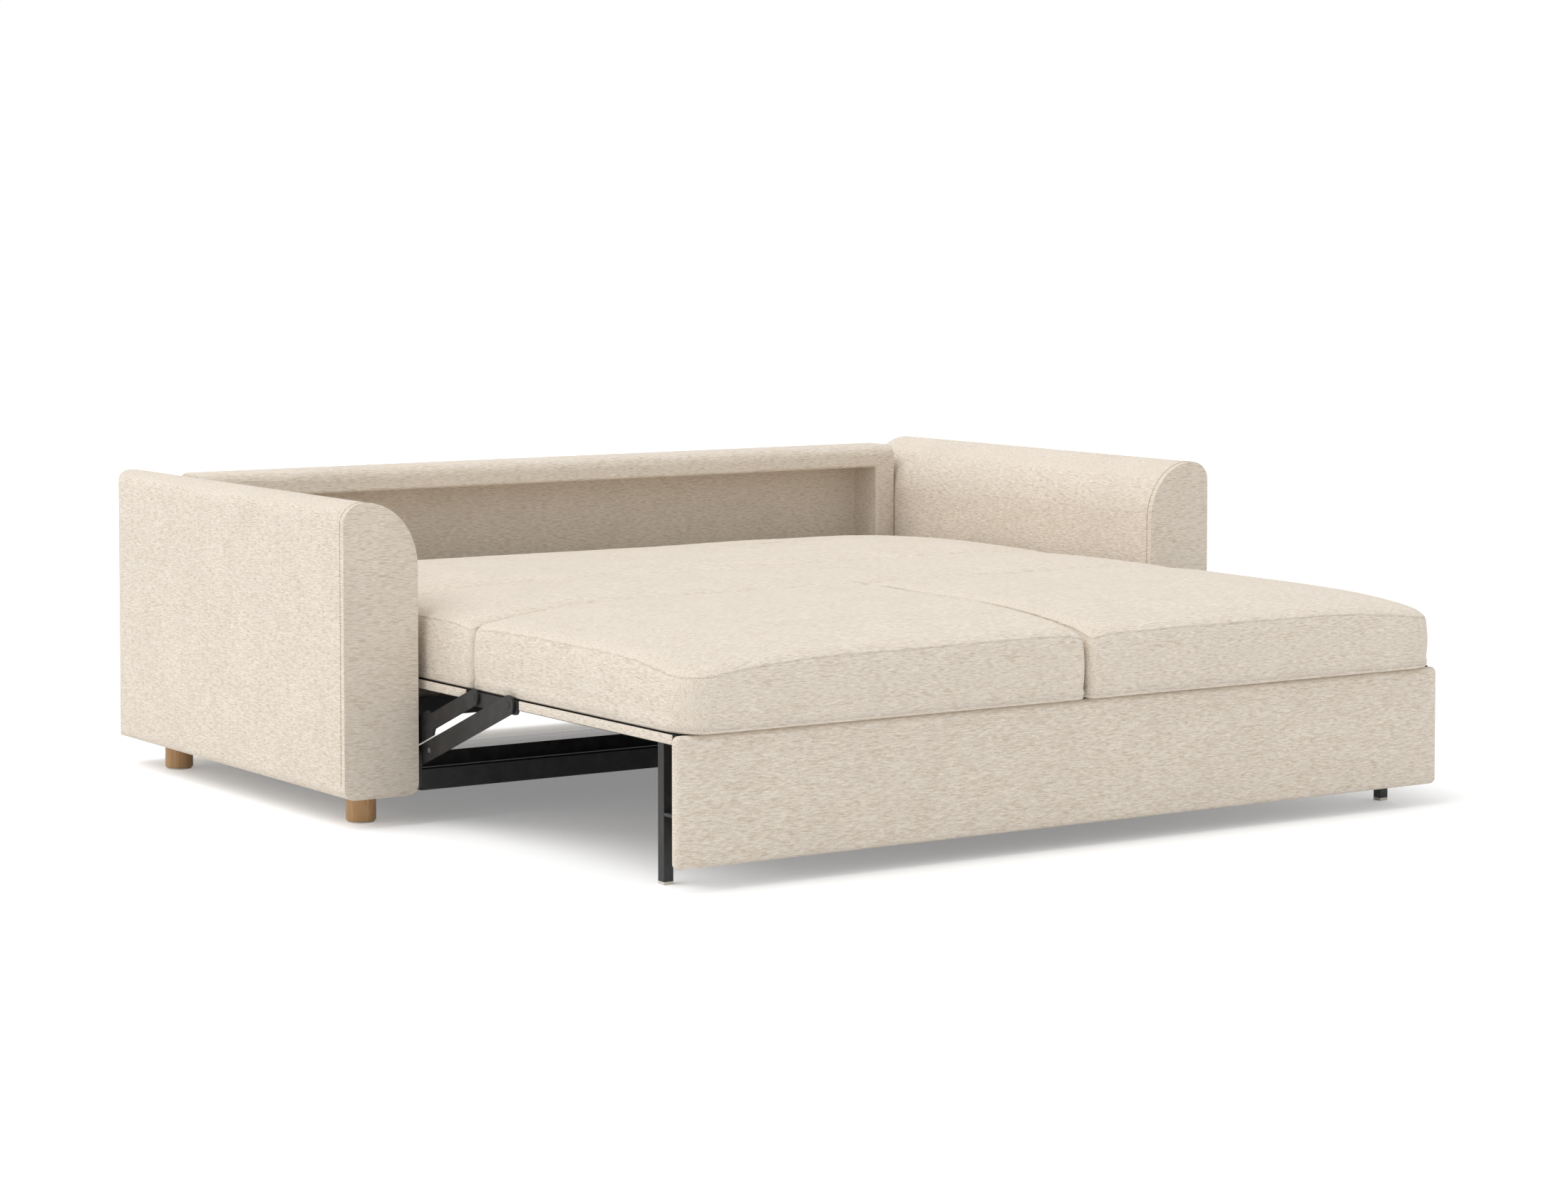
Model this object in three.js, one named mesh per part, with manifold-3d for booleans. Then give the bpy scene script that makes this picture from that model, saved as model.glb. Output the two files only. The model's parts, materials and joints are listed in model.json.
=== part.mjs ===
// Sleeper sofa with a pull-out bed, modelled open as a bed.
// Millimetres, +Z up, X along the sofa, -Y towards the person who pulls the bed out.
// Inside this file Y is zero on the front plane of the arms; the group moves the origin
// to the middle of the open sofa's footprint.
import * as THREE from 'three';
import { mergeVertices } from 'three/addons/utils/BufferGeometryUtils.js';
import Module from 'manifold-3d';

const wasm = await Module();
wasm.setup();

// Driving sizes of the sofa body
const sofaHalfWidth = 1091;
const armThickness = 164;
const bodyDepth = 1110;
const armTop = 643;
const backTop = 632;
const bodyClear = 60;
const seatGap = 0.3;
const cutOverrun = 5;

// Driving sizes of the bed
const bedReach = 955;
const bedTop = 450;
const mattressThickness = 165;
const frameHeight = 19;
const midEnd = 355;
const rearGap = 39;
const frontEnd = -178;
const sectionGap = 5;
const panelFront = -936;
const panelThickness = 22;
const panelBack = panelFront + panelThickness;

// Materials
const linen = [0.79, 0.73, 0.65];
const fabric = () => new THREE.MeshStandardMaterial({
  color: new THREE.Color(...linen), roughness: 0.95, metalness: 0 });
const steel = () => new THREE.MeshStandardMaterial({ color: 0x1c1d1f, roughness: 0.5, metalness: 0.6 });
const oak = () => new THREE.MeshStandardMaterial({ color: 0xb07a45, roughness: 0.55, metalness: 0 });
const felt = () => new THREE.MeshStandardMaterial({ color: 0xd9d3c8, roughness: 0.9, metalness: 0 });

const sofa = new THREE.Group();
sofa.position.y = (bedReach - bodyDepth) / 2;

function put(name, geometry, material) {
  const mesh = new THREE.Mesh(geometry, material);
  mesh.name = name;
  sofa.add(mesh);
}

// Solids: a closed geometry to a manifold and back
function toSolid(geometry) {
  const bare = geometry.index ? geometry.toNonIndexed() : geometry.clone();
  bare.deleteAttribute('normal');
  bare.deleteAttribute('uv');
  const merged = mergeVertices(bare);
  return new wasm.Manifold(new wasm.Mesh({
    numProp: 3,
    vertProperties: new Float32Array(merged.attributes.position.array),
    triVerts: new Uint32Array(merged.index.array),
  }));
}

function toGeometry(solid) {
  const mesh = solid.getMesh();
  const geometry = new THREE.BufferGeometry();
  geometry.setAttribute('position', new THREE.BufferAttribute(mesh.vertProperties, 3));
  geometry.setIndex(new THREE.BufferAttribute(mesh.triVerts, 1));
  geometry.computeVertexNormals();
  return geometry;
}

const joined = (pieces) => toGeometry(pieces.map(toSolid).reduce((a, b) => a.add(b)));

// A box between two corners
function block(x0, x1, y0, y1, z0, z1) {
  const geometry = new THREE.BoxGeometry(x1 - x0, y1 - y0, z1 - z0);
  return geometry.translate((x0 + x1) / 2, (y0 + y1) / 2, (z0 + z1) / 2);
}

// An outline drawn in Y and Z, made thick along X
function sideProfile(shape, x0, thickness, curveSegments) {
  const geometry = new THREE.ExtrudeGeometry(shape, {
    depth: thickness, bevelEnabled: false, curveSegments });
  const turn = new THREE.Matrix4().makeBasis(
    new THREE.Vector3(0, 1, 0), new THREE.Vector3(0, 0, 1), new THREE.Vector3(1, 0, 0));
  return geometry.applyMatrix4(turn).translate(x0, 0, 0);
}

// An outline drawn in X and Z, made deep along Y up to y1
function frontProfile(shape, y1, depth, curveSegments) {
  const geometry = new THREE.ExtrudeGeometry(shape, { depth, bevelEnabled: false, curveSegments });
  const turn = new THREE.Matrix4().makeBasis(
    new THREE.Vector3(1, 0, 0), new THREE.Vector3(0, 0, 1), new THREE.Vector3(0, -1, 0));
  return geometry.applyMatrix4(turn).translate(0, y1, 0);
}

// A rectangle with rounded corners, from corner a to corner b
function roundedRectangle(ax, ay, bx, by, radius) {
  const shape = new THREE.Shape();
  shape.moveTo(ax + radius, ay);
  shape.lineTo(bx - radius, ay);
  shape.absarc(bx - radius, ay + radius, radius, -Math.PI / 2, 0);
  shape.lineTo(bx, by - radius);
  shape.absarc(bx - radius, by - radius, radius, 0, Math.PI / 2);
  shape.lineTo(ax + radius, by);
  shape.absarc(ax + radius, by - radius, radius, Math.PI / 2, Math.PI);
  shape.lineTo(ax, ay + radius);
  shape.absarc(ax + radius, ay + radius, radius, Math.PI, Math.PI * 1.5);
  return shape;
}

// A round bar along X
function barAlongX(x0, x1, y, z, radius, sides) {
  const geometry = new THREE.CylinderGeometry(radius, radius, x1 - x0, sides);
  return geometry.rotateZ(Math.PI / 2).translate((x0 + x1) / 2, y, z);
}

const innerFace = sofaHalfWidth - armThickness;
const bothSides = [['left', -1], ['right', 1]];
// The two ends of a span of X on one side, lowest first
const spanOn = (side, near, far) => (side < 0 ? [-far, -near] : [near, far]);

// Arms: upholstered blocks with a rolled inner edge and a rounded rear corner
const armApexInset = 48;
const armOuterDrop = 41;
const armInnerDrop = 130;
const armFootRadius = 25;
const armRearRadius = 65;
const armCurveSegments = 10;
const armBendShare = 0.5523;

function armShape(side) {
  const x = (value) => side * value;
  const apex = sofaHalfWidth - armApexInset;
  const shape = new THREE.Shape();
  shape.moveTo(x(innerFace + armFootRadius), bodyClear);
  shape.lineTo(x(sofaHalfWidth - armFootRadius), bodyClear);
  shape.quadraticCurveTo(x(sofaHalfWidth), bodyClear, x(sofaHalfWidth), bodyClear + armFootRadius);
  shape.lineTo(x(sofaHalfWidth), armTop - armOuterDrop);
  shape.bezierCurveTo(x(sofaHalfWidth), armTop - armOuterDrop * (1 - armBendShare),
    x(apex + armApexInset * armBendShare), armTop, x(apex), armTop);
  shape.bezierCurveTo(x(apex - (apex - innerFace) * armBendShare), armTop,
    x(innerFace), armTop - armInnerDrop * (1 - armBendShare), x(innerFace), armTop - armInnerDrop);
  shape.lineTo(x(innerFace), bodyClear + armFootRadius);
  shape.quadraticCurveTo(x(innerFace), bodyClear, x(innerFace + armFootRadius), bodyClear);
  return shape;
}

function armPlan(side) {
  const x = (value) => side * value;
  const shape = new THREE.Shape();
  shape.moveTo(x(innerFace - cutOverrun), 0);
  shape.lineTo(x(sofaHalfWidth + cutOverrun), 0);
  shape.lineTo(x(sofaHalfWidth + cutOverrun), bodyDepth - armRearRadius);
  shape.lineTo(x(sofaHalfWidth), bodyDepth - armRearRadius);
  shape.quadraticCurveTo(x(sofaHalfWidth), bodyDepth, x(sofaHalfWidth - armRearRadius), bodyDepth);
  shape.lineTo(x(innerFace - cutOverrun), bodyDepth);
  return shape;
}

function arm(side) {
  const body = toSolid(frontProfile(armShape(side), bodyDepth, bodyDepth, armCurveSegments));
  const plan = toSolid(new THREE.ExtrudeGeometry(armPlan(side), {
    depth: armTop + cutOverrun, bevelEnabled: false, curveSegments: armCurveSegments }));
  return toGeometry(body.intersect(plan));
}

for (const [word, side] of bothSides) put(`${word}_arm`, arm(side), fabric());

// Back: a padded frame with a wide recess that takes the head of the bed
const backThickness = 121;
const backFront = bodyDepth - backThickness;
const backEdgeRadius = 26;
const recessRim = 56;
const recessHalfWidth = innerFace - recessRim;
const recessTopRail = 53;
const recessTop = backTop - recessTopRail;
const recessFloor = 300;
const recessDepth = 100;
const backHalfWidth = innerFace - seatGap;

function backFrame() {
  const shape = new THREE.Shape();
  shape.moveTo(backFront, bodyClear);
  shape.lineTo(bodyDepth, bodyClear);
  shape.lineTo(bodyDepth, backTop - backEdgeRadius);
  shape.absarc(bodyDepth - backEdgeRadius, backTop - backEdgeRadius, backEdgeRadius, 0, Math.PI / 2);
  shape.lineTo(backFront + backEdgeRadius, backTop);
  shape.absarc(backFront + backEdgeRadius, backTop - backEdgeRadius, backEdgeRadius,
    Math.PI / 2, Math.PI);
  const body = toSolid(sideProfile(shape, -backHalfWidth, 2 * backHalfWidth, armCurveSegments));
  const recess = toSolid(block(-recessHalfWidth, recessHalfWidth,
    backFront - cutOverrun, backFront + recessDepth, recessFloor, recessTop));
  return toGeometry(body.subtract(recess));
}

put('back_frame', backFrame(), fabric());

// Wooden legs: turned posts under the arms, each on a pale glide
const woodLegRadius = 30;
const woodLegEdge = 2;
const woodLegInset = 88;
const woodLegX = sofaHalfWidth - woodLegInset;
const woodLegFront = 102;
const woodLegRearInset = 155;
const woodLegYs = { front: woodLegFront, rear: bodyDepth - woodLegRearInset };
const glideHeight = 3;
const glideInset = 3;
const glideEdge = 1;
const legSides = 28;

function turnedPost(x, y, radius, edge, z0, z1) {
  const outline = [[0, z0], [radius - edge, z0], [radius, z0 + edge], [radius, z1], [0, z1]];
  const points = outline.map(([r, z]) => new THREE.Vector2(r, z));
  return new THREE.LatheGeometry(points, legSides).rotateX(Math.PI / 2).translate(x, y, 0);
}

for (const [place, y] of Object.entries(woodLegYs)) {
  for (const [word, side] of bothSides) {
    put(`wooden_leg_${place}_${word}`, turnedPost(side * woodLegX, y, woodLegRadius, woodLegEdge,
      glideHeight, bodyClear - seatGap), oak());
    put(`leg_glide_${place}_${word}`, turnedPost(side * woodLegX, y, woodLegRadius - glideInset,
      glideEdge, 0, glideHeight - seatGap), felt());
  }
}

// Mechanism: each side has two parallel links that swing on a plate fixed to the arm
const plateThickness = 7;
const linkThickness = 5;
const linkClear = 1.2;
const plateOuter = innerFace - seatGap;
const plateInner = plateOuter - plateThickness;
const linkOuter = plateInner - linkClear;
const linkInner = linkOuter - linkThickness;
const bracketOuter = linkInner - linkClear;
const bracketThickness = 5;
const bracketInner = bracketOuter - bracketThickness;
const pinRadius = 7;
const runningGap = 0.3;
const pinSides = 20;

const frontPivotY = 117;
const pivotZ = 94;
const pivotSpacing = 135;
const linkReach = 457;
const linkRise = 181;
const mainLinkHalfWidth = 19;
const controlHalfWidth = 26;
const controlTipHalfWidth = 16;
const controlWideShare = 0.62;
const topPivotY = frontPivotY - linkReach;
const topPivotZ = pivotZ + linkRise;
const linkLength = Math.hypot(linkReach, linkRise);
const linkAngle = Math.atan2(linkRise, -linkReach);

// A round hole in an outline
function roundHole(shape, x, y, radius) {
  const hole = new THREE.Path();
  hole.absarc(x, y, radius, 0, Math.PI * 2, true);
  shape.holes.push(hole);
}

// A link lying along +X from its low pivot, turned into place about that pivot
function placeLink(shape, side, lowY, lowZ) {
  roundHole(shape, 0, 0, pinRadius + runningGap);
  roundHole(shape, linkLength, 0, pinRadius + runningGap);
  const [x0] = spanOn(side, linkInner, linkOuter);
  const geometry = sideProfile(shape, x0, linkThickness, armCurveSegments);
  return geometry.rotateX(linkAngle).translate(0, lowY, lowZ);
}

function mainLink(side) {
  const shape = new THREE.Shape();
  shape.absarc(0, 0, mainLinkHalfWidth, Math.PI / 2, Math.PI * 1.5);
  shape.absarc(linkLength, 0, mainLinkHalfWidth, -Math.PI / 2, Math.PI / 2);
  return placeLink(shape, side, frontPivotY, pivotZ);
}

// The control link is wide at its foot and steps down to a narrow tip
function controlLink(side) {
  const wide = linkLength * controlWideShare;
  const step = controlHalfWidth - controlTipHalfWidth;
  const shape = new THREE.Shape();
  shape.absarc(0, 0, controlHalfWidth, Math.PI / 2, Math.PI * 1.5);
  shape.lineTo(wide, -controlHalfWidth);
  shape.lineTo(wide + step, -controlTipHalfWidth);
  shape.absarc(linkLength, 0, controlTipHalfWidth, -Math.PI / 2, Math.PI / 2);
  shape.lineTo(wide + step, controlTipHalfWidth);
  shape.lineTo(wide, controlHalfWidth);
  return placeLink(shape, side, frontPivotY + pivotSpacing, pivotZ);
}

const crossBarY = 5;
const crossBarDepth = 20;
const crossBarLow = 67;
const crossBarHeight = 41;
const plateRadius = 18;
const plateMargin = 34;
const plateTop = 150;

// A side plate carries both low pins
function sidePlate(side) {
  const shape = roundedRectangle(0, crossBarLow - seatGap, frontPivotY + pivotSpacing + plateMargin,
    plateTop, plateRadius);
  const [x0, x1] = spanOn(side, plateInner, plateOuter);
  const plate = sideProfile(shape, x0, x1 - x0, armCurveSegments);
  const [p0, p1] = spanOn(side, linkInner - linkClear / 2, plateInner + plateThickness / 2);
  const pins = [frontPivotY, frontPivotY + pivotSpacing].map((y) =>
    barAlongX(p0, p1, y, pivotZ, pinRadius, pinSides));
  return joined([plate, ...pins]);
}

for (const [word, side] of bothSides) {
  put(`${word}_side_plate`, sidePlate(side), steel());
  put(`${word}_main_link`, mainLink(side), steel());
  put(`${word}_control_link`, controlLink(side), steel());
}

const barEnd = plateInner - seatGap;
put('front_cross_bar', block(-barEnd, barEnd, crossBarY, crossBarY + crossBarDepth,
  crossBarLow, crossBarLow + crossBarHeight), steel());

const rearBarInset = 34;
const rearBarY = backFront - rearBarInset;
put('rear_cross_bar', block(-plateOuter, plateOuter, rearBarY, rearBarY + crossBarDepth,
  crossBarLow, crossBarLow + crossBarHeight), steel());

// Torsion tube: ties the two main links so that both sides of the bed lift together
const torsionOffset = 58;
const torsionSize = 30;
const torsionEnd = linkInner - seatGap;
const torsionShare = torsionOffset / linkLength;

function torsionTube() {
  const y = frontPivotY - linkReach * torsionShare;
  const z = pivotZ + linkRise * torsionShare;
  const half = torsionSize / 2;
  const tube = block(-torsionEnd, torsionEnd, -half, half, -half, half);
  return tube.rotateX(linkAngle).translate(0, y, z);
}

put('torsion_tube', torsionTube(), steel());

// Bed frames: a welded rail frame with slats across, one under each mattress section
const rearEnd = backFront - rearGap;
const frameHalfWidth = bracketInner - seatGap;
const railWidth = 20;
const slatWidth = 60;
const slatCounts = { front: 6, mid: 4, rear: 5 };
const slatDrop = 6;
const mattressBottom = bedTop - mattressThickness;
const frameTop = mattressBottom - seatGap;
const frameLow = frameTop - frameHeight;

function slatFrame(y0, y1, slats) {
  const across = (low, high) => block(-frameHalfWidth, frameHalfWidth, low, high, frameLow, frameTop);
  const along = (x) => block(x - railWidth / 2, x + railWidth / 2, y0, y1, frameLow, frameTop);
  const sideRail = frameHalfWidth - railWidth / 2;
  const pieces = [across(y0, y0 + railWidth), across(y1 - railWidth, y1),
    along(-sideRail), along(0), along(sideRail)];
  const pitch = (y1 - y0) / (slats + 1);
  for (let i = 1; i <= slats; i += 1) {
    const middle = y0 + pitch * i;
    pieces.push(block(-sideRail, sideRail, middle - slatWidth / 2, middle + slatWidth / 2,
      frameLow + slatDrop, frameTop - slatDrop));
  }
  return pieces;
}

// The fold hinge under the front of the middle section: eyes on both frames, one pin a side
const foldDrop = 4;
const foldZ = frameLow - foldDrop;
const foldY = frontEnd + sectionGap / 2;
const eyeRadius = 11;
const eyeThickness = 8;
const eyeInset = 327;
const eyeX = innerFace - eyeInset;
const foldPinRadius = 5;
const eyeReach = 32;
const eyeWaist = 16;
const foldFrameGap = 15;

function foldEye(side, x, towards) {
  const outline = [
    [eyeReach, frameHeight], [eyeReach, eyeRadius], [eyeWaist, 0], [eyeRadius, -eyeRadius / 2],
    [0, -eyeRadius], [-eyeRadius, -eyeRadius / 2], [-eyeRadius, 0], [0, frameHeight / 2],
    [eyeRadius / 2, frameHeight],
  ].map(([y, z]) => new THREE.Vector2(towards * y, z));
  const shape = new THREE.Shape(towards > 0 ? outline.reverse() : outline);
  roundHole(shape, 0, 0, foldPinRadius + runningGap);
  const [x0] = spanOn(side, x, x + eyeThickness);
  return sideProfile(shape, x0, eyeThickness, armCurveSegments).translate(0, foldY, foldZ);
}

const eyesOn = (offset, towards) => bothSides.map(([, side]) => foldEye(side, eyeX + offset, towards));

const frontFrameStart = panelBack + seatGap;
put('front_slat_frame', joined([
  ...slatFrame(frontFrameStart, foldY - foldFrameGap, slatCounts.front), ...eyesOn(0, -1)]), steel());
put('mid_slat_frame', joined([
  ...slatFrame(foldY + foldFrameGap, midEnd, slatCounts.mid),
  ...eyesOn(eyeThickness + linkClear, 1)]), steel());
put('rear_slat_frame', joined(slatFrame(midEnd + 2 * sectionGap, rearEnd - sectionGap,
  slatCounts.rear)), steel());

for (const [word, side] of bothSides) {
  const [x0, x1] = spanOn(side, eyeX - linkClear, eyeX + 2 * eyeThickness + 2 * linkClear);
  put(`fold_pin_${word}`, barAlongX(x0, x1, foldY, foldZ, foldPinRadius, pinSides), steel());
}

// Front brackets: the top pivots of the links, welded to the sides of the front frame
const bracketTop = frameTop - seatGap;
const bracketLow = topPivotZ - plateRadius;
const bracketMargin = 26;
const bracketRadius = 10;

function frontBracket(side) {
  const shape = roundedRectangle(topPivotY - bracketMargin, bracketLow,
    topPivotY + pivotSpacing + bracketMargin, bracketTop, bracketRadius);
  const [x0, x1] = spanOn(side, bracketInner, bracketOuter);
  const plate = sideProfile(shape, x0, x1 - x0, armCurveSegments);
  const [p0, p1] = spanOn(side, bracketInner + bracketThickness / 2, linkOuter + linkClear / 2);
  const pins = [topPivotY, topPivotY + pivotSpacing].map((y) =>
    barAlongX(p0, p1, y, topPivotZ, pinRadius, pinSides));
  return joined([plate, ...pins]);
}

// Rear ears and plates: the pivot on which the head section tips up behind the seat
const tiltInset = 160;
const tiltY = rearEnd - tiltInset;
const tiltZ = 300;
const earHalf = 24;
const earFoot = 5;
const earFootInset = 26;
const earLow = frameLow - seatGap - earFoot;

function tiltEar(side) {
  const shape = roundedRectangle(tiltY - earHalf, earLow, tiltY + earHalf, tiltZ + earHalf,
    earFoot / 2);
  roundHole(shape, tiltY, tiltZ, pinRadius + runningGap);
  const [x0] = spanOn(side, linkInner, linkOuter);
  const plate = sideProfile(shape, x0, linkThickness, armCurveSegments);
  const [f0, f1] = spanOn(side, frameHalfWidth - earFootInset, linkOuter - linkThickness / 2);
  return joined([plate, block(f0, f1, tiltY - earHalf + earFoot, tiltY + earHalf - earFoot,
    earLow, earLow + earFoot)]);
}

function rearPlate(side) {
  const shape = roundedRectangle(tiltY - plateMargin, tiltZ - plateMargin,
    tiltY + plateMargin, tiltZ + plateMargin, bracketRadius);
  const [x0, x1] = spanOn(side, plateInner, plateOuter);
  const plate = sideProfile(shape, x0, x1 - x0, armCurveSegments);
  const [p0, p1] = spanOn(side, linkInner - linkClear / 2, plateInner + plateThickness / 2);
  return joined([plate, barAlongX(p0, p1, tiltY, tiltZ, pinRadius, pinSides)]);
}

for (const [word, side] of bothSides) {
  put(`${word}_front_bracket`, frontBracket(side), steel());
  put(`${word}_tilt_ear`, tiltEar(side), steel());
  put(`${word}_rear_plate`, rearPlate(side), steel());
}

// Steel legs under the front of the bed, with a tab to the panel and a pale foot
const steelLegInset = 51;
const steelLegOuter = innerFace - steelLegInset;
const steelLegSize = 20;
const steelLegY = -832;
const footHeight = 6;
const tabZ = 126;
const tabThickness = 6;

for (const [word, side] of bothSides) {
  const [x0, x1] = spanOn(side, steelLegOuter - steelLegSize, steelLegOuter);
  put(`${word}_steel_leg`, block(x0, x1, steelLegY, steelLegY + steelLegSize, footHeight,
    frameLow - seatGap), steel());
  put(`${word}_leg_tab`, block(x0, x1, panelBack + seatGap, steelLegY - seatGap,
    tabZ, tabZ + tabThickness), steel());
  put(`${word}_foot`, block(x0, x1, steelLegY, steelLegY + steelLegSize, 0,
    footHeight - seatGap), felt());
}

// Front panel: an upholstered board that closes the front below the cushions
const panelSideGap = 12;
const panelHalfWidth = innerFace - panelSideGap;
const panelLow = 44;
const panelTopGap = 1;
const panelTop = mattressBottom - panelTopGap;
const panelRadius = 12;

function frontPanel() {
  const shape = roundedRectangle(-panelHalfWidth, panelLow, panelHalfWidth, panelTop, panelRadius);
  return frontProfile(shape, panelBack, panelThickness, armCurveSegments);
}

put('front_panel', frontPanel(), fabric());

// Cushions: crowned forms with round edges and sides drawn in between the corners
const cushionRound = 46;
const cushionCrown = 12;
const cushionDrawIn = 5;
const cushionParts = [12, 12, 6];
const bedSideGap = 18;
const bedHalfWidth = innerFace - bedSideGap;
const cushionSplit = 3;
// The ends where the middle and the head cushion meet lean alike, so that they part as they fold
const joinLean = 130;
const straightShare = () => 0;
const rearLeanShare = (share) => share;
const frontLeanShare = (share) => 1 - share;

function cushion(low, high, leanShare) {
  const half = high.map((value, i) => (value - low[i]) / 2);
  const geometry = new THREE.BoxGeometry(2, 2, 2, ...cushionParts);
  const points = geometry.attributes.position;
  const middle = new THREE.Vector3(...high.map((value, i) => (value + low[i]) / 2));
  const flatTop = half[2] - cushionCrown / 2;
  const inner = new THREE.Vector3(half[0] - cushionRound, half[1] - cushionRound, flatTop - cushionRound);
  for (let i = 0; i < points.count; i += 1) {
    const share = [points.getX(i), points.getY(i), points.getZ(i)].map(
      (value) => Math.sin(value * Math.PI / 2));
    const p = new THREE.Vector3(share[0] * half[0], share[1] * half[1], share[2] * flatTop);
    const core = p.clone().clamp(inner.clone().negate(), inner);
    const out = p.clone().sub(core);
    if (out.length() > 0) p.copy(core).addScaledVector(out.normalize(), cushionRound);
    const overY = 1 - share[1] ** 2;
    p.x -= share[0] * overY * cushionDrawIn;
    const rise = (share[2] + 1) / 2;
    p.z += cushionCrown * (rise * (1 - share[0] ** 4) * (1 - share[1] ** 4) - 1 / 2);
    p.add(middle);
    const along = (p.y - low[1]) / (high[1] - low[1]);
    p.y -= joinLean * leanShare(along) * (p.z - low[2]) / (high[2] - low[2]);
    points.setXYZ(i, p.x, p.y, p.z);
  }
  return toGeometry(toSolid(geometry));
}

put('front_cushion_left', cushion([-bedHalfWidth, -bedReach, mattressBottom],
  [-cushionSplit / 2, frontEnd, bedTop], straightShare), fabric());
put('front_cushion_right', cushion([cushionSplit / 2, -bedReach, mattressBottom],
  [bedHalfWidth, frontEnd, bedTop], straightShare), fabric());
put('mid_cushion', cushion([-bedHalfWidth, frontEnd + sectionGap, mattressBottom],
  [bedHalfWidth, midEnd, bedTop], rearLeanShare), fabric());
put('rear_cushion', cushion([-bedHalfWidth, midEnd + sectionGap, mattressBottom],
  [bedHalfWidth, rearEnd, bedTop], frontLeanShare), fabric());

export default sofa;
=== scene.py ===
import json
import math

import bmesh
import bpy
from mathutils import Matrix, Vector, noise


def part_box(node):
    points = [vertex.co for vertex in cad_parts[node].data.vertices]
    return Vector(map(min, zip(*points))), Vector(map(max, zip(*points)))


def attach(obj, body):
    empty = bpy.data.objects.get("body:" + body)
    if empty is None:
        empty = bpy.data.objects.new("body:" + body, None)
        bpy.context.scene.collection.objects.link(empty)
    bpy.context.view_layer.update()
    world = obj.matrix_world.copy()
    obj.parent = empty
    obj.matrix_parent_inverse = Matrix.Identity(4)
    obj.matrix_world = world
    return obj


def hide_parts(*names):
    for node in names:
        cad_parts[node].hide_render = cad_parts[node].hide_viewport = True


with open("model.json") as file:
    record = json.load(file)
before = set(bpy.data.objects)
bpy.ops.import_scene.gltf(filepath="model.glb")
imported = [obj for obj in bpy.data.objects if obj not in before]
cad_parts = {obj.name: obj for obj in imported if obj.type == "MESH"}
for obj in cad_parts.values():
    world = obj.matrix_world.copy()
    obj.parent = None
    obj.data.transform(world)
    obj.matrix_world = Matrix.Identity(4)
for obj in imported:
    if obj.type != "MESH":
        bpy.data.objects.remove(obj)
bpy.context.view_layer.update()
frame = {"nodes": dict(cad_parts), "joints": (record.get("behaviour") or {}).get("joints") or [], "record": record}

# Camera: at chest height and about eight metres off, at the photograph's viewing angle.
# Its long lens looks a little down, and the shifted picture plane keeps uprights nearly upright.
CAMERA_PLACE = (-4.47235, -6.68693, 1.24)
CAMERA_TURN = 33.722
CAMERA_PITCH = 3.03
CAMERA_LENS = 87.4
CAMERA_FILM = 36
CAMERA_SHIFT = -0.128
CAMERA_SEES_TO = 100

camera_data = bpy.data.cameras.new("studio_camera")
camera_data.sensor_width = CAMERA_FILM
camera_data.lens = CAMERA_LENS
camera_data.shift_y = CAMERA_SHIFT
camera_data.clip_end = CAMERA_SEES_TO
camera = bpy.data.objects.new("studio_camera", camera_data)
bpy.context.scene.collection.objects.link(camera)
turn, pitch = math.radians(CAMERA_TURN), math.radians(CAMERA_PITCH)
looking = Vector((math.sin(turn) * math.cos(pitch), math.cos(turn) * math.cos(pitch), -math.sin(pitch)))
camera.location = CAMERA_PLACE
camera.rotation_euler = looking.to_track_quat("-Z", "Y").to_euler()
bpy.context.scene.camera = camera
bpy.context.scene.view_settings.view_transform = "Standard"


# Arms, back and front panel: timber frames under foam, with linen pulled tight over every edge.
# The linen is a slubbed oatmeal cloth of uneven yarns, pale with tan shade and sparse flecks.
# Each cover keeps its frame's outline and rounds the edges, as padding under cloth does.
LINEN_PALE = (0.88, 0.815, 0.725, 1)
LINEN_SHADE = (0.60, 0.505, 0.40, 1)
LINEN_FLECK = (0.45, 0.34, 0.23, 1)
YARN_PER_M = 620
SLUB_PER_M = 70
FLECK_ALONG_PER_M = 56
FLECK_ACROSS_PER_M = 496
CLOUD_PER_M = 9
SLUB_SPAN = (0.36, 0.66)
YARN_SPAN = (0.35, 0.7)
CLOUD_SPAN = (0.35, 0.75)
FLECK_SPAN = (0.60, 0.70)
SIDEWAYS_SPAN = (0.6, 0.75)
SLUB_SHARE = 0.6
YARN_SHARE = 0.4
CLOUD_SHARE = 0.04
FLECK_SHARE = 0.35
COVER_RADIUS = 0.014
BACK_COVER_RADIUS = COVER_RADIUS / 2
COVER_STEPS = 4
COVER_MERGE = 1e-5
FLAT_WITHIN = math.radians(1)
EDGE_FROM = math.radians(35)

SHADER_SOCKETS = {"roughness": "Roughness", "specular": "Specular IOR Level",
                  "sheen": "Sheen Weight", "metallic": "Metallic"}
# A mix node's sockets, by what it mixes: the share, the first value, the second and the result.
MIX_SOCKETS = {"FLOAT": (0, 2, 3, 0), "RGBA": (0, 6, 7, 2)}


def feed(tree, value, socket):
    """Joins another node's output to a socket, or gives the socket a plain value."""
    if isinstance(value, bpy.types.NodeSocket):
        tree.links.new(value, socket)
    else:
        socket.default_value = value


def maths(tree, operation, *values):
    node = tree.nodes.new("ShaderNodeMath")
    node.operation = operation
    for value, socket in zip(values, node.inputs):
        feed(tree, value, socket)
    return node.outputs[0]


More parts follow.
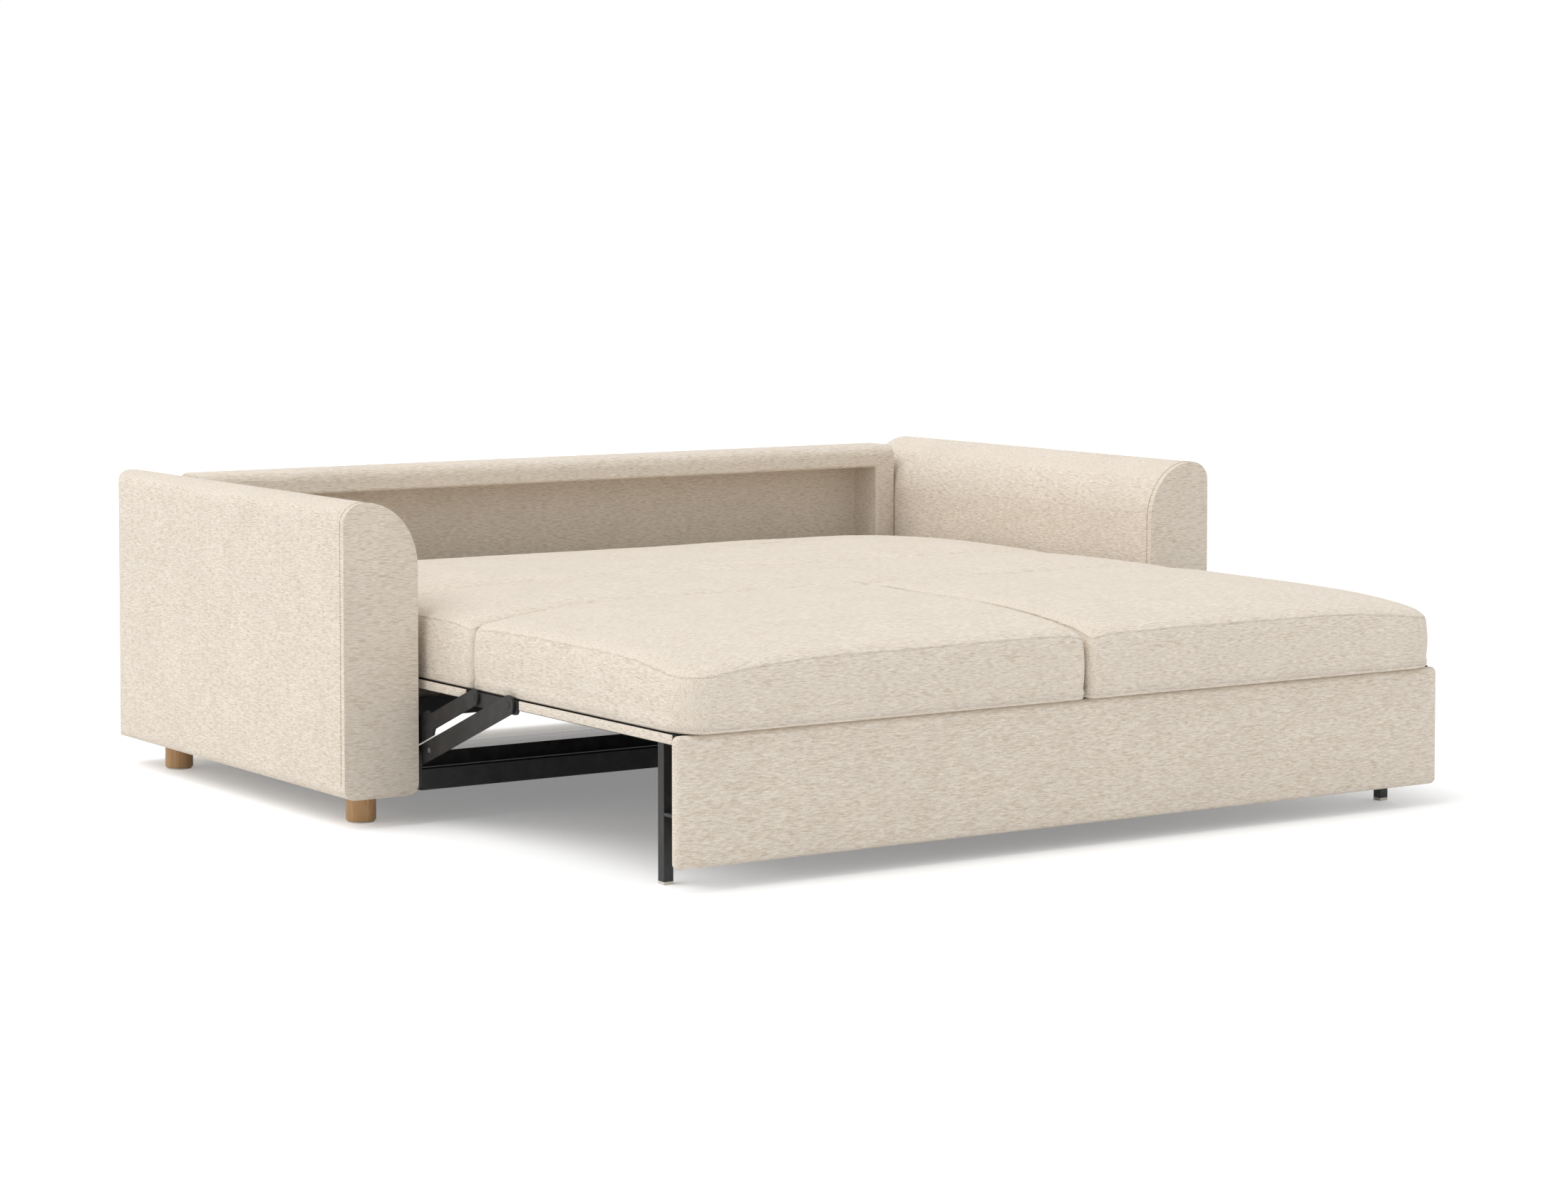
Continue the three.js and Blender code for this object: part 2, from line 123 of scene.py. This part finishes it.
def blend(tree, share, first, second, kind="RGBA", how="MIX"):
    node = tree.nodes.new("ShaderNodeMix")
    node.data_type = kind
    node.blend_type = how
    *places, result = MIX_SOCKETS[kind]
    for value, place in zip((share, first, second), places):
        feed(tree, value, node.inputs[place])
    return node.outputs[result]


def sharpen(tree, value, low, high):
    """Stretches a stretch of a pattern, from low to high, over the whole of 0 to 1."""
    node = tree.nodes.new("ShaderNodeMapRange")
    node.inputs["From Min"].default_value = low
    node.inputs["From Max"].default_value = high
    tree.links.new(value, node.inputs["Value"])
    return node.outputs["Result"]


def even(per_m):
    return (per_m, per_m, per_m)


def grain(tree, place, per_m, detail=2):
    """A cloudy pattern with so many waves to the metre along X, Y and Z."""
    mapping = tree.nodes.new("ShaderNodeMapping")
    mapping.inputs["Scale"].default_value = per_m
    tree.links.new(place, mapping.inputs["Vector"])
    texture = tree.nodes.new("ShaderNodeTexNoise")
    texture.inputs["Scale"].default_value = 1
    texture.inputs["Detail"].default_value = detail
    tree.links.new(mapping.outputs["Vector"], texture.inputs["Vector"])
    return texture.outputs["Fac"]


def weft_grain(tree, place, along, across, detail):
    """Grain whose threads lie level: along X on faces that look ahead or up, along Y on the ends."""
    facing = tree.nodes.new("ShaderNodeSeparateXYZ")
    normal = tree.nodes.new("ShaderNodeTexCoord").outputs["Normal"]
    tree.links.new(normal, facing.inputs["Vector"])
    sideways = sharpen(tree, maths(tree, "ABSOLUTE", facing.outputs["X"]), *SIDEWAYS_SPAN)
    level_x = grain(tree, place, (along, across, across), detail)
    level_y = grain(tree, place, (across, along, across), detail)
    return blend(tree, sideways, level_x, level_y, kind="FLOAT")


def lift(tree, shader, height, strength, distance):
    """Raises the surface, for light alone, where a pattern is high."""
    bump = tree.nodes.new("ShaderNodeBump")
    bump.inputs["Strength"].default_value = strength
    bump.inputs["Distance"].default_value = distance
    tree.links.new(height, bump.inputs["Height"])
    tree.links.new(bump.outputs["Normal"], shader.inputs["Normal"])


def new_material(name, **feel):
    """A material whose shader has the feel that is named, such as roughness=0.9."""
    material = bpy.data.materials.new(name)
    material.use_nodes = True
    tree = material.node_tree
    shader = next(node for node in tree.nodes if node.type == "BSDF_PRINCIPLED")
    for word, value in feel.items():
        shader.inputs[SHADER_SOCKETS[word]].default_value = value
    place = tree.nodes.new("ShaderNodeTexCoord").outputs["Object"]
    return material, tree, shader, place


def linen_cloth(name):
    material, tree, shader, place = new_material(name, roughness=0.95, specular=0.2, sheen=0.15)
    slub = sharpen(tree, weft_grain(tree, place, SLUB_PER_M, YARN_PER_M, detail=2), *SLUB_SPAN)
    yarn = sharpen(tree, grain(tree, place, even(YARN_PER_M)), *YARN_SPAN)
    cloud = sharpen(tree, grain(tree, place, even(CLOUD_PER_M)), *CLOUD_SPAN)
    long_fleck = weft_grain(tree, place, FLECK_ALONG_PER_M, FLECK_ACROSS_PER_M, detail=0)
    fleck = sharpen(tree, long_fleck, *FLECK_SPAN)
    weave = maths(tree, "MULTIPLY_ADD", slub, SLUB_SHARE, maths(tree, "MULTIPLY", yarn, YARN_SHARE))
    woven = blend(tree, weave, LINEN_PALE, LINEN_SHADE)
    clouded = blend(tree, CLOUD_SHARE, woven, cloud, how="MULTIPLY")
    flecked = blend(tree, fleck, clouded, LINEN_FLECK)
    feed(tree, blend(tree, FLECK_SHARE, clouded, flecked), shader.inputs["Base Color"])
    lift(tree, shader, weave, strength=0.5, distance=0.0012)
    return material


def mesh_piece(name, bm):
    mesh = bpy.data.meshes.new(name)
    bm.to_mesh(mesh)
    bm.free()
    mesh.shade_smooth()
    piece = bpy.data.objects.new(name, mesh)
    bpy.context.scene.collection.objects.link(piece)
    return piece


def apply_modifiers(piece):
    graph = bpy.context.evaluated_depsgraph_get()
    mesh = bpy.data.meshes.new_from_object(piece.evaluated_get(graph))
    piece.modifiers.clear()
    piece.data = mesh


def tight_cover(name, node, radius):
    """A cover with a frame's own outline, its flat faces made whole and its edges rounded."""
    bm = bmesh.new()
    bm.from_mesh(frame["nodes"][node].data)
    bmesh.ops.remove_doubles(bm, verts=bm.verts, dist=COVER_MERGE)
    bmesh.ops.dissolve_limit(bm, angle_limit=FLAT_WITHIN, verts=bm.verts, edges=bm.edges)
    piece = mesh_piece(name, bm)
    bevel = piece.modifiers.new("edge", "BEVEL")
    bevel.width = radius
    bevel.segments = COVER_STEPS
    bevel.angle_limit = EDGE_FROM
    bevel.harden_normals = True
    apply_modifiers(piece)
    return piece


def dress(piece, material, body, slot, *nodes):
    """Gives a piece its finish and the body it rides on, and hides the CAD nodes it stands for. The slot is not
    used.
    """
    piece.data.materials.clear()
    piece.data.materials.append(material)
    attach(piece, body)
    if nodes:
        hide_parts(*nodes)
    return piece


body_linen = linen_cloth("body_linen")
for word in ("left", "right"):
    cover = tight_cover(f"{word}_arm_cover", f"{word}_arm", COVER_RADIUS)
    dress(cover, body_linen, "sofa_base", "linen_fabric", f"{word}_arm")
back_cover = tight_cover("back_cover", "back_frame", BACK_COVER_RADIUS)
dress(back_cover, body_linen, "sofa_base", "linen_fabric", "back_frame")
panel_cover = tight_cover("panel_cover", "front_panel", COVER_RADIUS)
dress(panel_cover, body_linen, "front_section", "linen_fabric", "front_panel")


# Arm seams: each arm's front face is its own cut of cloth, sewn to the sleeve round the arm.
# A row of short tan stitches follows its outline, from one foot over the round top to the other.
THREAD_TAN = (0.45, 0.36, 0.27, 1)
THREAD_DARK = (0.30, 0.23, 0.16, 1)
THREAD_GRAIN_PER_M = 300
STITCH_LENGTH = 0.0042
STITCH_PITCH = 0.006
STITCH_RADIUS = 0.0009
STITCH_SIDES = 6
SEAM_SET_BACK = 0.0145
SEAM_FOOT = 0.030
ARM_APEX_INSET = 0.048
ARM_OUTER_DROP = 0.041
ARM_INNER_DROP = 0.130
OUTER_ARC_STEPS = 8
INNER_ARC_STEPS = 14
STITCH_INPUTS = {"Seam": "Geometry", "Pitch": "Float", "Radius": "Float", "Length": "Float",
                 "Thread": "Material"}


def mottled(name, per_m, first, second, **feel):
    """A material whose colour drifts between two close shades."""
    material, tree, shader, place = new_material(name, **feel)
    feed(tree, blend(tree, grain(tree, place, even(per_m)), first, second), shader.inputs["Base Color"])
    return material


def quarter(reach, rise, start, steps):
    """A quarter of an oval, clockwise from the start angle, as places along and up from its centre."""
    angles = [start - math.pi / 2 * i / steps for i in range(steps + 1)]
    return [(reach * math.cos(angle), rise * math.sin(angle)) for angle in angles]


def arm_outline(word):
    """The seam's points in X and Z, from the inner foot to the outer foot."""
    low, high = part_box(f"{word}_arm")
    inner, outer = (high.x, low.x) if word == "left" else (low.x, high.x)
    out = 1 if outer > inner else -1
    apex = outer - out * ARM_APEX_INSET
    inner_reach = abs(apex - inner)
    points = [(inner, low.z + SEAM_FOOT), (inner, high.z - ARM_INNER_DROP)]
    for x, z in quarter(inner_reach, ARM_INNER_DROP, math.pi, INNER_ARC_STEPS):
        points.append((apex + out * x, high.z - ARM_INNER_DROP + z))
    for x, z in quarter(ARM_APEX_INSET, ARM_OUTER_DROP, math.pi / 2, OUTER_ARC_STEPS):
        points.append((apex + out * x, high.z - ARM_OUTER_DROP + z))
    points.append((outer, low.z + SEAM_FOOT))
    return points


def stitch_tree():
    """Lays short threads one after another along a seam, and gives its inputs' identifiers."""
    tree = bpy.data.node_groups.new("seam_stitches", "GeometryNodeTree")
    keys = {}
    for name, kind in STITCH_INPUTS.items():
        socket = tree.interface.new_socket(name, in_out="INPUT", socket_type=f"NodeSocket{kind}")
        keys[name] = socket.identifier
    tree.interface.new_socket("Stitches", in_out="OUTPUT", socket_type="NodeSocketGeometry")
    start = tree.nodes.new("NodeGroupInput")
    curve = tree.nodes.new("GeometryNodeMeshToCurve")
    points = tree.nodes.new("GeometryNodeCurveToPoints")
    points.mode = "LENGTH"
    stitch = tree.nodes.new("GeometryNodeMeshCylinder")
    stitch.inputs["Vertices"].default_value = STITCH_SIDES
    align = tree.nodes.new("FunctionNodeAlignRotationToVector")
    align.axis = "Z"
    placed = tree.nodes.new("GeometryNodeInstanceOnPoints")
    real = tree.nodes.new("GeometryNodeRealizeInstances")
    paint = tree.nodes.new("GeometryNodeSetMaterial")
    end = tree.nodes.new("NodeGroupOutput")
    for output, socket in (
        (start.outputs["Seam"], curve.inputs["Mesh"]),
        (curve.outputs["Curve"], points.inputs["Curve"]),
        (start.outputs["Pitch"], points.inputs["Length"]),
        (start.outputs["Radius"], stitch.inputs["Radius"]),
        (start.outputs["Length"], stitch.inputs["Depth"]),
        (points.outputs["Tangent"], align.inputs["Vector"]),
        (points.outputs["Points"], placed.inputs["Points"]),
        (stitch.outputs["Mesh"], placed.inputs["Instance"]),
        (align.outputs["Rotation"], placed.inputs["Rotation"]),
        (placed.outputs["Instances"], real.inputs["Geometry"]),
        (real.outputs["Geometry"], paint.inputs["Geometry"]),
        (start.outputs["Thread"], paint.inputs["Material"]),
        (paint.outputs["Geometry"], end.inputs["Stitches"]),
    ):
        tree.links.new(output, socket)
    return tree, keys


seam_thread = mottled("seam_thread", THREAD_GRAIN_PER_M, THREAD_TAN, THREAD_DARK, roughness=0.9)
stitches, stitch_keys = stitch_tree()


def sewn_line(name, points, body):
    bm = bmesh.new()
    verts = [bm.verts.new(point) for point in points]
    for first, second in zip(verts, verts[1:]):
        bm.edges.new((first, second))
    piece = mesh_piece(name, bm)
    sew = piece.modifiers.new("sew", "NODES")
    sew.node_group = stitches
    sew[stitch_keys["Pitch"]] = STITCH_PITCH
    sew[stitch_keys["Radius"]] = STITCH_RADIUS
    sew[stitch_keys["Length"]] = STITCH_LENGTH
    sew[stitch_keys["Thread"]] = seam_thread
    apply_modifiers(piece)
    return dress(piece, seam_thread, body, "linen_fabric")


for word in ("left", "right"):
    seam_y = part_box(f"{word}_arm")[0].y + SEAM_SET_BACK
    sewn_line(f"{word}_arm_stitches", [(x, seam_y, z) for x, z in arm_outline(word)], "sofa_base")


# Cushions: foam blocks in boxed linen covers, with a sewn seam round the top and the bottom edge.
# The tops crown up from their seams, the corners at the bed's foot are full, and the sides bulge.
# The middle and the head cushion lean where they meet, so that they part as the bed folds.
FULL_CORNER = 0.07
HEAD_CORNER = FULL_CORNER / 2
TIGHT_CORNER = 0.02
LEAST_CORNER = 0.004
CORNER_STEPS = 10
EDGE_STEP = 0.024
UNDERSIDE_INSETS = (0.03, 0.012)
UNDER_EDGE_INSET, UNDER_EDGE_RISE = 0.004, 0.002
UNDER_SEAM_INSET = 0.0005
SEAM_DEPTH = 0.0022
SEAM_HALF_HEIGHT = 0.0025
SEAM_LIP = 0.001
BOTTOM_SEAM_RISE = 0.009
TOP_SEAM_SHARE = 0.985
SIDE_BULGE = 0.004
SIDE_STEPS = 8
ROLL = 0.011
JOIN_ROLL = 0.004
JOIN_ROLL_REACH = 0.06
ROLL_INSETS = (0.0006, 0.003, 0.007, 0.012, 0.018, 0.026)
TOP_STEP = 0.024
TOP_CENTRE = 0.01
# How far the top falls, and from how far in, to an open side, a join and the front split.
FALLS = {"open": (0.031, 0.36), "join": (0.010, 0.13), "split": (0.012, 0.07)}
FALL_CURVE = 2.2
SPLIT_FADE_SHARE = 0.75
DENT_HEIGHT, DENTS_PER_M, DENT_LAYER = 0.0022, 4.2, 3.1
PUCKER_HEIGHT, PUCKERS_PER_M, PUCKER_LAYER = 0.0006, 26, 7.7
JOIN_SWELL = 0.002
JOIN_GAP = 0.005
JOIN_LEAN = 0.130
CUSHION_MERGE = 1e-6

# Each cushion's body, its corners from the front left one round, its sides, and the share of the
# lean at its front and its rear end.
CUSHIONS = {
    "front_cushion_left": (
        "front_section", (FULL_CORNER, TIGHT_CORNER, TIGHT_CORNER, TIGHT_CORNER),
        {"front": "open", "left": "open", "right": "split", "rear": "join"}, (0, 0)),
    "front_cushion_right": (
        "front_section", (TIGHT_CORNER, FULL_CORNER, TIGHT_CORNER, TIGHT_CORNER),
        {"front": "open", "right": "open", "left": "split", "rear": "join"}, (0, 0)),
    "mid_cushion": (
        "mid_section", (TIGHT_CORNER, TIGHT_CORNER, TIGHT_CORNER, TIGHT_CORNER),
        {"left": "open", "right": "open", "front": "join", "rear": "join"}, (0, 1)),
    "rear_cushion": (
        "head_section", (TIGHT_CORNER, TIGHT_CORNER, HEAD_CORNER, HEAD_CORNER),
        {"left": "open", "right": "open", "front": "join", "rear": "open"}, (1, 0)),
}


def ring_points(low, high, radii, inset):
    """Points round a rectangle with its own radius at each corner, pulled in by inset."""
    x0, x1, y0, y1 = low.x + inset, high.x - inset, low.y + inset, high.y - inset
    corners = [((x0, y0), (1, 1), math.pi), ((x1, y0), (-1, 1), 1.5 * math.pi),
               ((x1, y1), (-1, -1), 0), ((x0, y1), (1, -1), math.pi / 2)]
    points = []
    for (corner, inward, start), full_radius in zip(corners, radii):
        radius = max(full_radius - inset, LEAST_CORNER)
        centre = (corner[0] + inward[0] * radius, corner[1] + inward[1] * radius)
        for i in range(CORNER_STEPS + 1):
            angle = start + math.pi / 2 * i / CORNER_STEPS
            points.append((centre[0] + radius * math.cos(angle), centre[1] + radius * math.sin(angle)))
    return points


def with_edges(points, counts):
    """Adds points along each straight side of a ring, so that every ring has as many."""
    full = []
    corner = CORNER_STEPS + 1
    for side, count in enumerate(counts):
        full += points[side * corner:(side + 1) * corner]
        start, end = points[(side + 1) * corner - 1], points[(side + 1) * corner % len(points)]
        for i in range(1, count):
            share = i / count
            full.append((start[0] + (end[0] - start[0]) * share, start[1] + (end[1] - start[1]) * share))
    return full


def gaps_to_sides(x, y, low, high):
    return {"left": x - low.x, "right": high.x - x, "front": y - low.y, "rear": high.y - y}


def ripple(x, y, height, per_m, layer):
    return noise.noise(Vector((x * per_m, y * per_m, layer))) * height


def top_height(x, y, low, high, sides):
    """Height of the cushion's top: it falls away to open sides, and a little to a neighbour."""
    gaps = gaps_to_sides(x, y, low, high)
    z = high.z
    for side, kind in sides.items():
        drop, reach = FALLS[kind]
        if kind == "split":
            drop *= 1 - SPLIT_FADE_SHARE * min(1, gaps["front"] / (high.y - low.y))
        z -= drop * max(0, 1 - gaps[side] / reach) ** FALL_CURVE
    z += ripple(x, y, DENT_HEIGHT, DENTS_PER_M, DENT_LAYER)
    return z + ripple(x, y, PUCKER_HEIGHT, PUCKERS_PER_M, PUCKER_LAYER)


def roll_at(x, y, low, high, sides):
    """The rounding over the top seam, which is slight where two cushions press together."""
    gaps = gaps_to_sides(x, y, low, high)
    nearest = min(sides, key=lambda side: gaps[side])
    if sides[nearest] == "open":
        return ROLL
    to_open_side = min(gaps[side] for side, kind in sides.items() if kind == "open")
    return ROLL + (JOIN_ROLL - ROLL) * min(1, to_open_side / JOIN_ROLL_REACH)


def cushion_levels(low, high):
    """A cushion's rings from the underside up: what each is part of, its inset and its height.

    The height is in metres on the underside, a share of the way from seam to seam on the side,
    and a share of the roll that it lies below the top on the top.
    """
    foot = low.z + BOTTOM_SEAM_RISE
    levels = [("under", inset, low.z) for inset in UNDERSIDE_INSETS]
    levels += [("under", UNDER_EDGE_INSET, low.z + UNDER_EDGE_RISE),
               ("under", UNDER_SEAM_INSET, foot - SEAM_HALF_HEIGHT),
               ("under", SEAM_DEPTH, foot),
               ("under", 0, foot + SEAM_HALF_HEIGHT)]
    for i in range(1, SIDE_STEPS):
        share = i / SIDE_STEPS
        levels.append(("side", SIDE_BULGE * (1 - math.sin(math.pi * share)), share))
    levels += [("side", SIDE_BULGE, TOP_SEAM_SHARE), ("side", SIDE_BULGE + SEAM_DEPTH, 1)]
    start = SIDE_BULGE + SEAM_LIP
    for inset in ROLL_INSETS:
        levels.append(("top", start + inset, (1 - inset / ROLL_INSETS[-1]) ** 2))
    inset = start + ROLL_INSETS[-1] + TOP_STEP
    while inset < min(high.x - low.x, high.y - low.y) / 2 - TOP_CENTRE:
        levels.append(("top", inset, 0))
        inset += TOP_STEP
    return levels


def boxed_cushion(name, low, high, radii, sides, lean_shares):
    """A closed cushion made of rings, with a face between each ring and the next."""
    across, deep = high.x - low.x, high.y - low.y
    counts = [round(length / EDGE_STEP) for length in (across, deep, across, deep)]
    foot = low.z + BOTTOM_SEAM_RISE
    front_lean, rear_lean = lean_shares
    bm = bmesh.new()
    rings = []
    for part, inset, height in cushion_levels(low, high):
        ring = []
        for x, y in with_edges(ring_points(low, high, radii, inset), counts):
            top = top_height(x, y, low, high, sides)
            roll = roll_at(x, y, low, high, sides)
            z = height
            if part == "side":
                z = foot + (top - roll - SEAM_LIP - foot) * height
            if part == "top":
                z = top - height * roll
            lean = JOIN_LEAN * (front_lean + (rear_lean - front_lean) * (y - low.y) / deep)
            ring.append(bm.verts.new((x, y - lean * (z - low.z) / (high.z - low.z), z)))
        rings.append(ring)
    for lower, upper in zip(rings, rings[1:]):
        for i in range(len(lower)):
            after = (i + 1) % len(lower)
            bm.faces.new((lower[i], lower[after], upper[after], upper[i]))
    bm.faces.new(list(reversed(rings[0])))
    bm.faces.new(rings[-1])
    bmesh.ops.remove_doubles(bm, verts=bm.verts, dist=CUSHION_MERGE)
    bmesh.ops.recalc_face_normals(bm, faces=bm.faces)
    return mesh_piece(name, bm)


cushion_linen = linen_cloth("cushion_linen")
join_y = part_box("mid_slat_frame")[1].y
for node, (body, radii, sides, lean_shares) in CUSHIONS.items():
    low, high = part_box(node)
    if body == "front_section":
        high.y += JOIN_SWELL
    if body == "mid_section":
        low.y -= JOIN_SWELL
        high.y = join_y
    if body == "head_section":
        low.y = join_y + JOIN_GAP
    pad = boxed_cushion(f"{node}_cover", low, high, radii, sides, lean_shares)
    dress(pad, cushion_linen, body, "cushion_fabric", node)


# Rail bindings: strips of the same linen, stapled along the outer side of each slat frame.
# They hide the steel under the cushions, and stop short at the fold and at the brackets.
BINDING_THICK = 0.0024
BINDING_EDGE = 0.0008
BINDING_STEPS = 2
BINDING_STAND_OFF = 0.0004
BINDING_RISE = 0.0015
FOLD_GAP = 0.015


def binding(name, node, spans):
    """Strips on both sides of a slat frame, raised a little to clear the brackets as it folds."""
    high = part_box(node)[1]
    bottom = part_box("rear_slat_frame")[0].z + BINDING_RISE
    bm = bmesh.new()
    for side in (-1, 1):
        for front, rear in spans:
            x = side * (high.x + BINDING_STAND_OFF + BINDING_THICK / 2)
            middle = Matrix.Translation((x, (front + rear) / 2, (bottom + high.z) / 2))
            size = Matrix.Diagonal((BINDING_THICK, rear - front - 2 * BINDING_EDGE, high.z - bottom, 1))
            bmesh.ops.create_cube(bm, size=1, matrix=middle @ size)
    piece = mesh_piece(name, bm)
    bevel = piece.modifiers.new("edge", "BEVEL")
    bevel.width = BINDING_EDGE
    bevel.segments = BINDING_STEPS
    apply_modifiers(piece)
    return piece


bracket_low, bracket_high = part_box("left_front_bracket")
fold_y = sum(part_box("fold_pin_left"), Vector()).y / 2
front_low, mid_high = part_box("front_slat_frame")[0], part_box("mid_slat_frame")[1]
rear_low, rear_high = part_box("rear_slat_frame")
BOUND_RAILS = {
    "front": ("front_section", [(front_low.y, bracket_low.y), (bracket_high.y, fold_y - FOLD_GAP)]),
    "mid": ("mid_section", [(fold_y + FOLD_GAP, mid_high.y)]),
    "rear": ("head_section", [(rear_low.y, rear_high.y)]),
}
for word, (body, spans) in BOUND_RAILS.items():
    strips = binding(f"{word}_rail_binding", f"{word}_slat_frame", spans)
    dress(strips, cushion_linen, body, "cushion_fabric")


# Posts: oak turned on a lathe and oiled, with the grain running up the post.
# Each stands on a pale moulded glide, and each steel leg on a foot of the same.
OAK_PALE = (0.58, 0.36, 0.17, 1)
OAK_BROWN = (0.45, 0.26, 0.115, 1)
OAK_PORE = (0.32, 0.17, 0.07, 1)
OAK_GROWTH_PER_M = (60, 60, 6)
OAK_GROWTH_SPAN = (0.3, 0.7)
OAK_PORES_PER_M = (700, 700, 30)
OAK_PORE_SPAN = (0.55, 0.7)
GLIDE_PALE = (0.72, 0.68, 0.60, 1)
GLIDE_SHADE = (0.62, 0.58, 0.50, 1)
GLIDE_GRAIN_PER_M = 250


def finish_nodes(slot, material):
    """Gives one finish to every CAD node that the record puts in a slot."""
    for row in frame["record"]["subparts"]:
        if row["material_slot"] == slot:
            node = frame["nodes"][row["node"]]
            node.data.materials.clear()
            node.data.materials.append(material)


oiled_oak, oak_tree, oak_shader, oak_place = new_material("oiled_oak", roughness=0.5)
growth = sharpen(oak_tree, grain(oak_tree, oak_place, OAK_GROWTH_PER_M, detail=4), *OAK_GROWTH_SPAN)
pores = sharpen(oak_tree, grain(oak_tree, oak_place, OAK_PORES_PER_M), *OAK_PORE_SPAN)
plain_oak = blend(oak_tree, growth, OAK_PALE, OAK_BROWN)
feed(oak_tree, blend(oak_tree, pores, plain_oak, OAK_PORE), oak_shader.inputs["Base Color"])
lift(oak_tree, oak_shader, pores, strength=0.2, distance=0.0004)
finish_nodes("oak", oiled_oak)
finish_nodes("glide", mottled("pale_glide", GLIDE_GRAIN_PER_M, GLIDE_PALE, GLIDE_SHADE, roughness=0.7))


# Steelwork: rails, slats, links, plates, bars and legs, welded and pinned.
# All are in a satin black powder coat with a fine orange peel, a little rubbed in places.
COAT_BLACK = (0.012, 0.012, 0.013, 1)
COAT_RUBBED = (0.03, 0.03, 0.032, 1)
PEEL_PER_M = 900
RUB_PER_M = 35
RUB_SPAN = (0.4, 0.8)

powder_coat, coat_tree, coat_shader, coat_place = new_material("black_powder_coat", roughness=0.48)
peel = grain(coat_tree, coat_place, even(PEEL_PER_M))
rubbed = sharpen(coat_tree, grain(coat_tree, coat_place, even(RUB_PER_M), detail=4), *RUB_SPAN)
feed(coat_tree, blend(coat_tree, rubbed, COAT_BLACK, COAT_RUBBED), coat_shader.inputs["Base Color"])
lift(coat_tree, coat_shader, peel, strength=0.15, distance=0.0003)
finish_nodes("black_steel", powder_coat)


# Rivets: two steel heads, pressed into low domes, near the foot of each main link.
# They sit on its outer face, on the line between its pivots, and are brighter than the coat.
RIVET_DARK = (0.20, 0.20, 0.21, 1)
RIVET_BRIGHT = (0.32, 0.32, 0.33, 1)
RIVET_GRAIN_PER_M = 400
RIVET_RADIUS = 0.0055
RIVET_DOME = 0.0009
RIVET_PLACES = (0.102, 0.153)
RIVET_SIDES = 20
RIVET_RINGS = 12

rivet_steel = mottled("rivet_steel", RIVET_GRAIN_PER_M, RIVET_DARK, RIVET_BRIGHT,
                      metallic=0.8, roughness=0.35)
pivots = {joint["name"]: Vector(joint["pos_m"]) for joint in frame["joints"]}
along_link = (pivots["seat_level"] - pivots["bed_fold"]).normalized()


def rivet_heads(word):
    low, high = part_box(f"{word}_main_link")
    face = low.x if word == "left" else high.x
    dome = Matrix.Diagonal((RIVET_DOME, RIVET_RADIUS, RIVET_RADIUS, 1))
    bm = bmesh.new()
    for distance in RIVET_PLACES:
        centre = pivots["bed_fold"] + along_link * distance
        place = Matrix.Translation((face, centre.y, centre.z))
        bmesh.ops.create_uvsphere(bm, u_segments=RIVET_SIDES, v_segments=RIVET_RINGS, radius=1,
                                  matrix=place @ dome)
    return mesh_piece(f"{word}_rivets", bm)


for word in ("left", "right"):
    dress(rivet_heads(word), rivet_steel, "swing_links", "black_steel")


# Studio: a plain pale floor, an even white room, and one broad soft light from the upper left.
# The floor glows a little in the camera's view and in reflections, and the room is whitest in the
# camera's view. Neither adds any light to the sofa.
WHITE = (1, 1, 1, 1)
FLOOR_GREY = (0.93, 0.93, 0.93, 1)
FLOOR_HALF = 60
FLOOR_GLOW = 0.24
ROOM_LEVEL = 0.80
SKY_LAMP_POWER = 1.35
SKY_LAMP_FROM = (-0.55, 0.12, 1.0)
SKY_LAMP_SPREAD = 50

bm = bmesh.new()
bmesh.ops.create_grid(bm, x_segments=1, y_segments=1, size=FLOOR_HALF)
floor = mesh_piece("studio_floor", bm)
floor_paint, floor_tree, floor_shader = new_material("floor_paint", roughness=0.9, specular=0.1)[:3]
floor_shader.inputs["Base Color"].default_value = FLOOR_GREY
floor_shader.inputs["Emission Color"].default_value = WHITE
floor_rays = floor_tree.nodes.new("ShaderNodeLightPath").outputs
floor_seen = maths(floor_tree, "MAXIMUM", floor_rays["Is Camera Ray"], floor_rays["Is Glossy Ray"])
floor_glow = maths(floor_tree, "MULTIPLY", floor_seen, FLOOR_GLOW)
feed(floor_tree, floor_glow, floor_shader.inputs["Emission Strength"])
floor.data.materials.append(floor_paint)

world = bpy.data.worlds.new("studio_world")
bpy.context.scene.world = world
world.use_nodes = True
room = world.node_tree.nodes["Background"]
room.inputs["Color"].default_value = WHITE
room_rays = world.node_tree.nodes.new("ShaderNodeLightPath").outputs
room_level = world.node_tree.nodes.new("ShaderNodeMapRange")
room_level.inputs["To Min"].default_value = ROOM_LEVEL
room_level.inputs["To Max"].default_value = 1
feed(world.node_tree, room_rays["Is Camera Ray"], room_level.inputs["Value"])
feed(world.node_tree, room_level.outputs["Result"], room.inputs["Strength"])

sky_data = bpy.data.lights.new("sky_lamp", "SUN")
sky_data.energy = SKY_LAMP_POWER
sky_data.angle = math.radians(SKY_LAMP_SPREAD)
sky_lamp = bpy.data.objects.new("sky_lamp", sky_data)
sky_lamp.rotation_euler = (-Vector(SKY_LAMP_FROM)).to_track_quat("-Z", "Y").to_euler()
bpy.context.scene.collection.objects.link(sky_lamp)
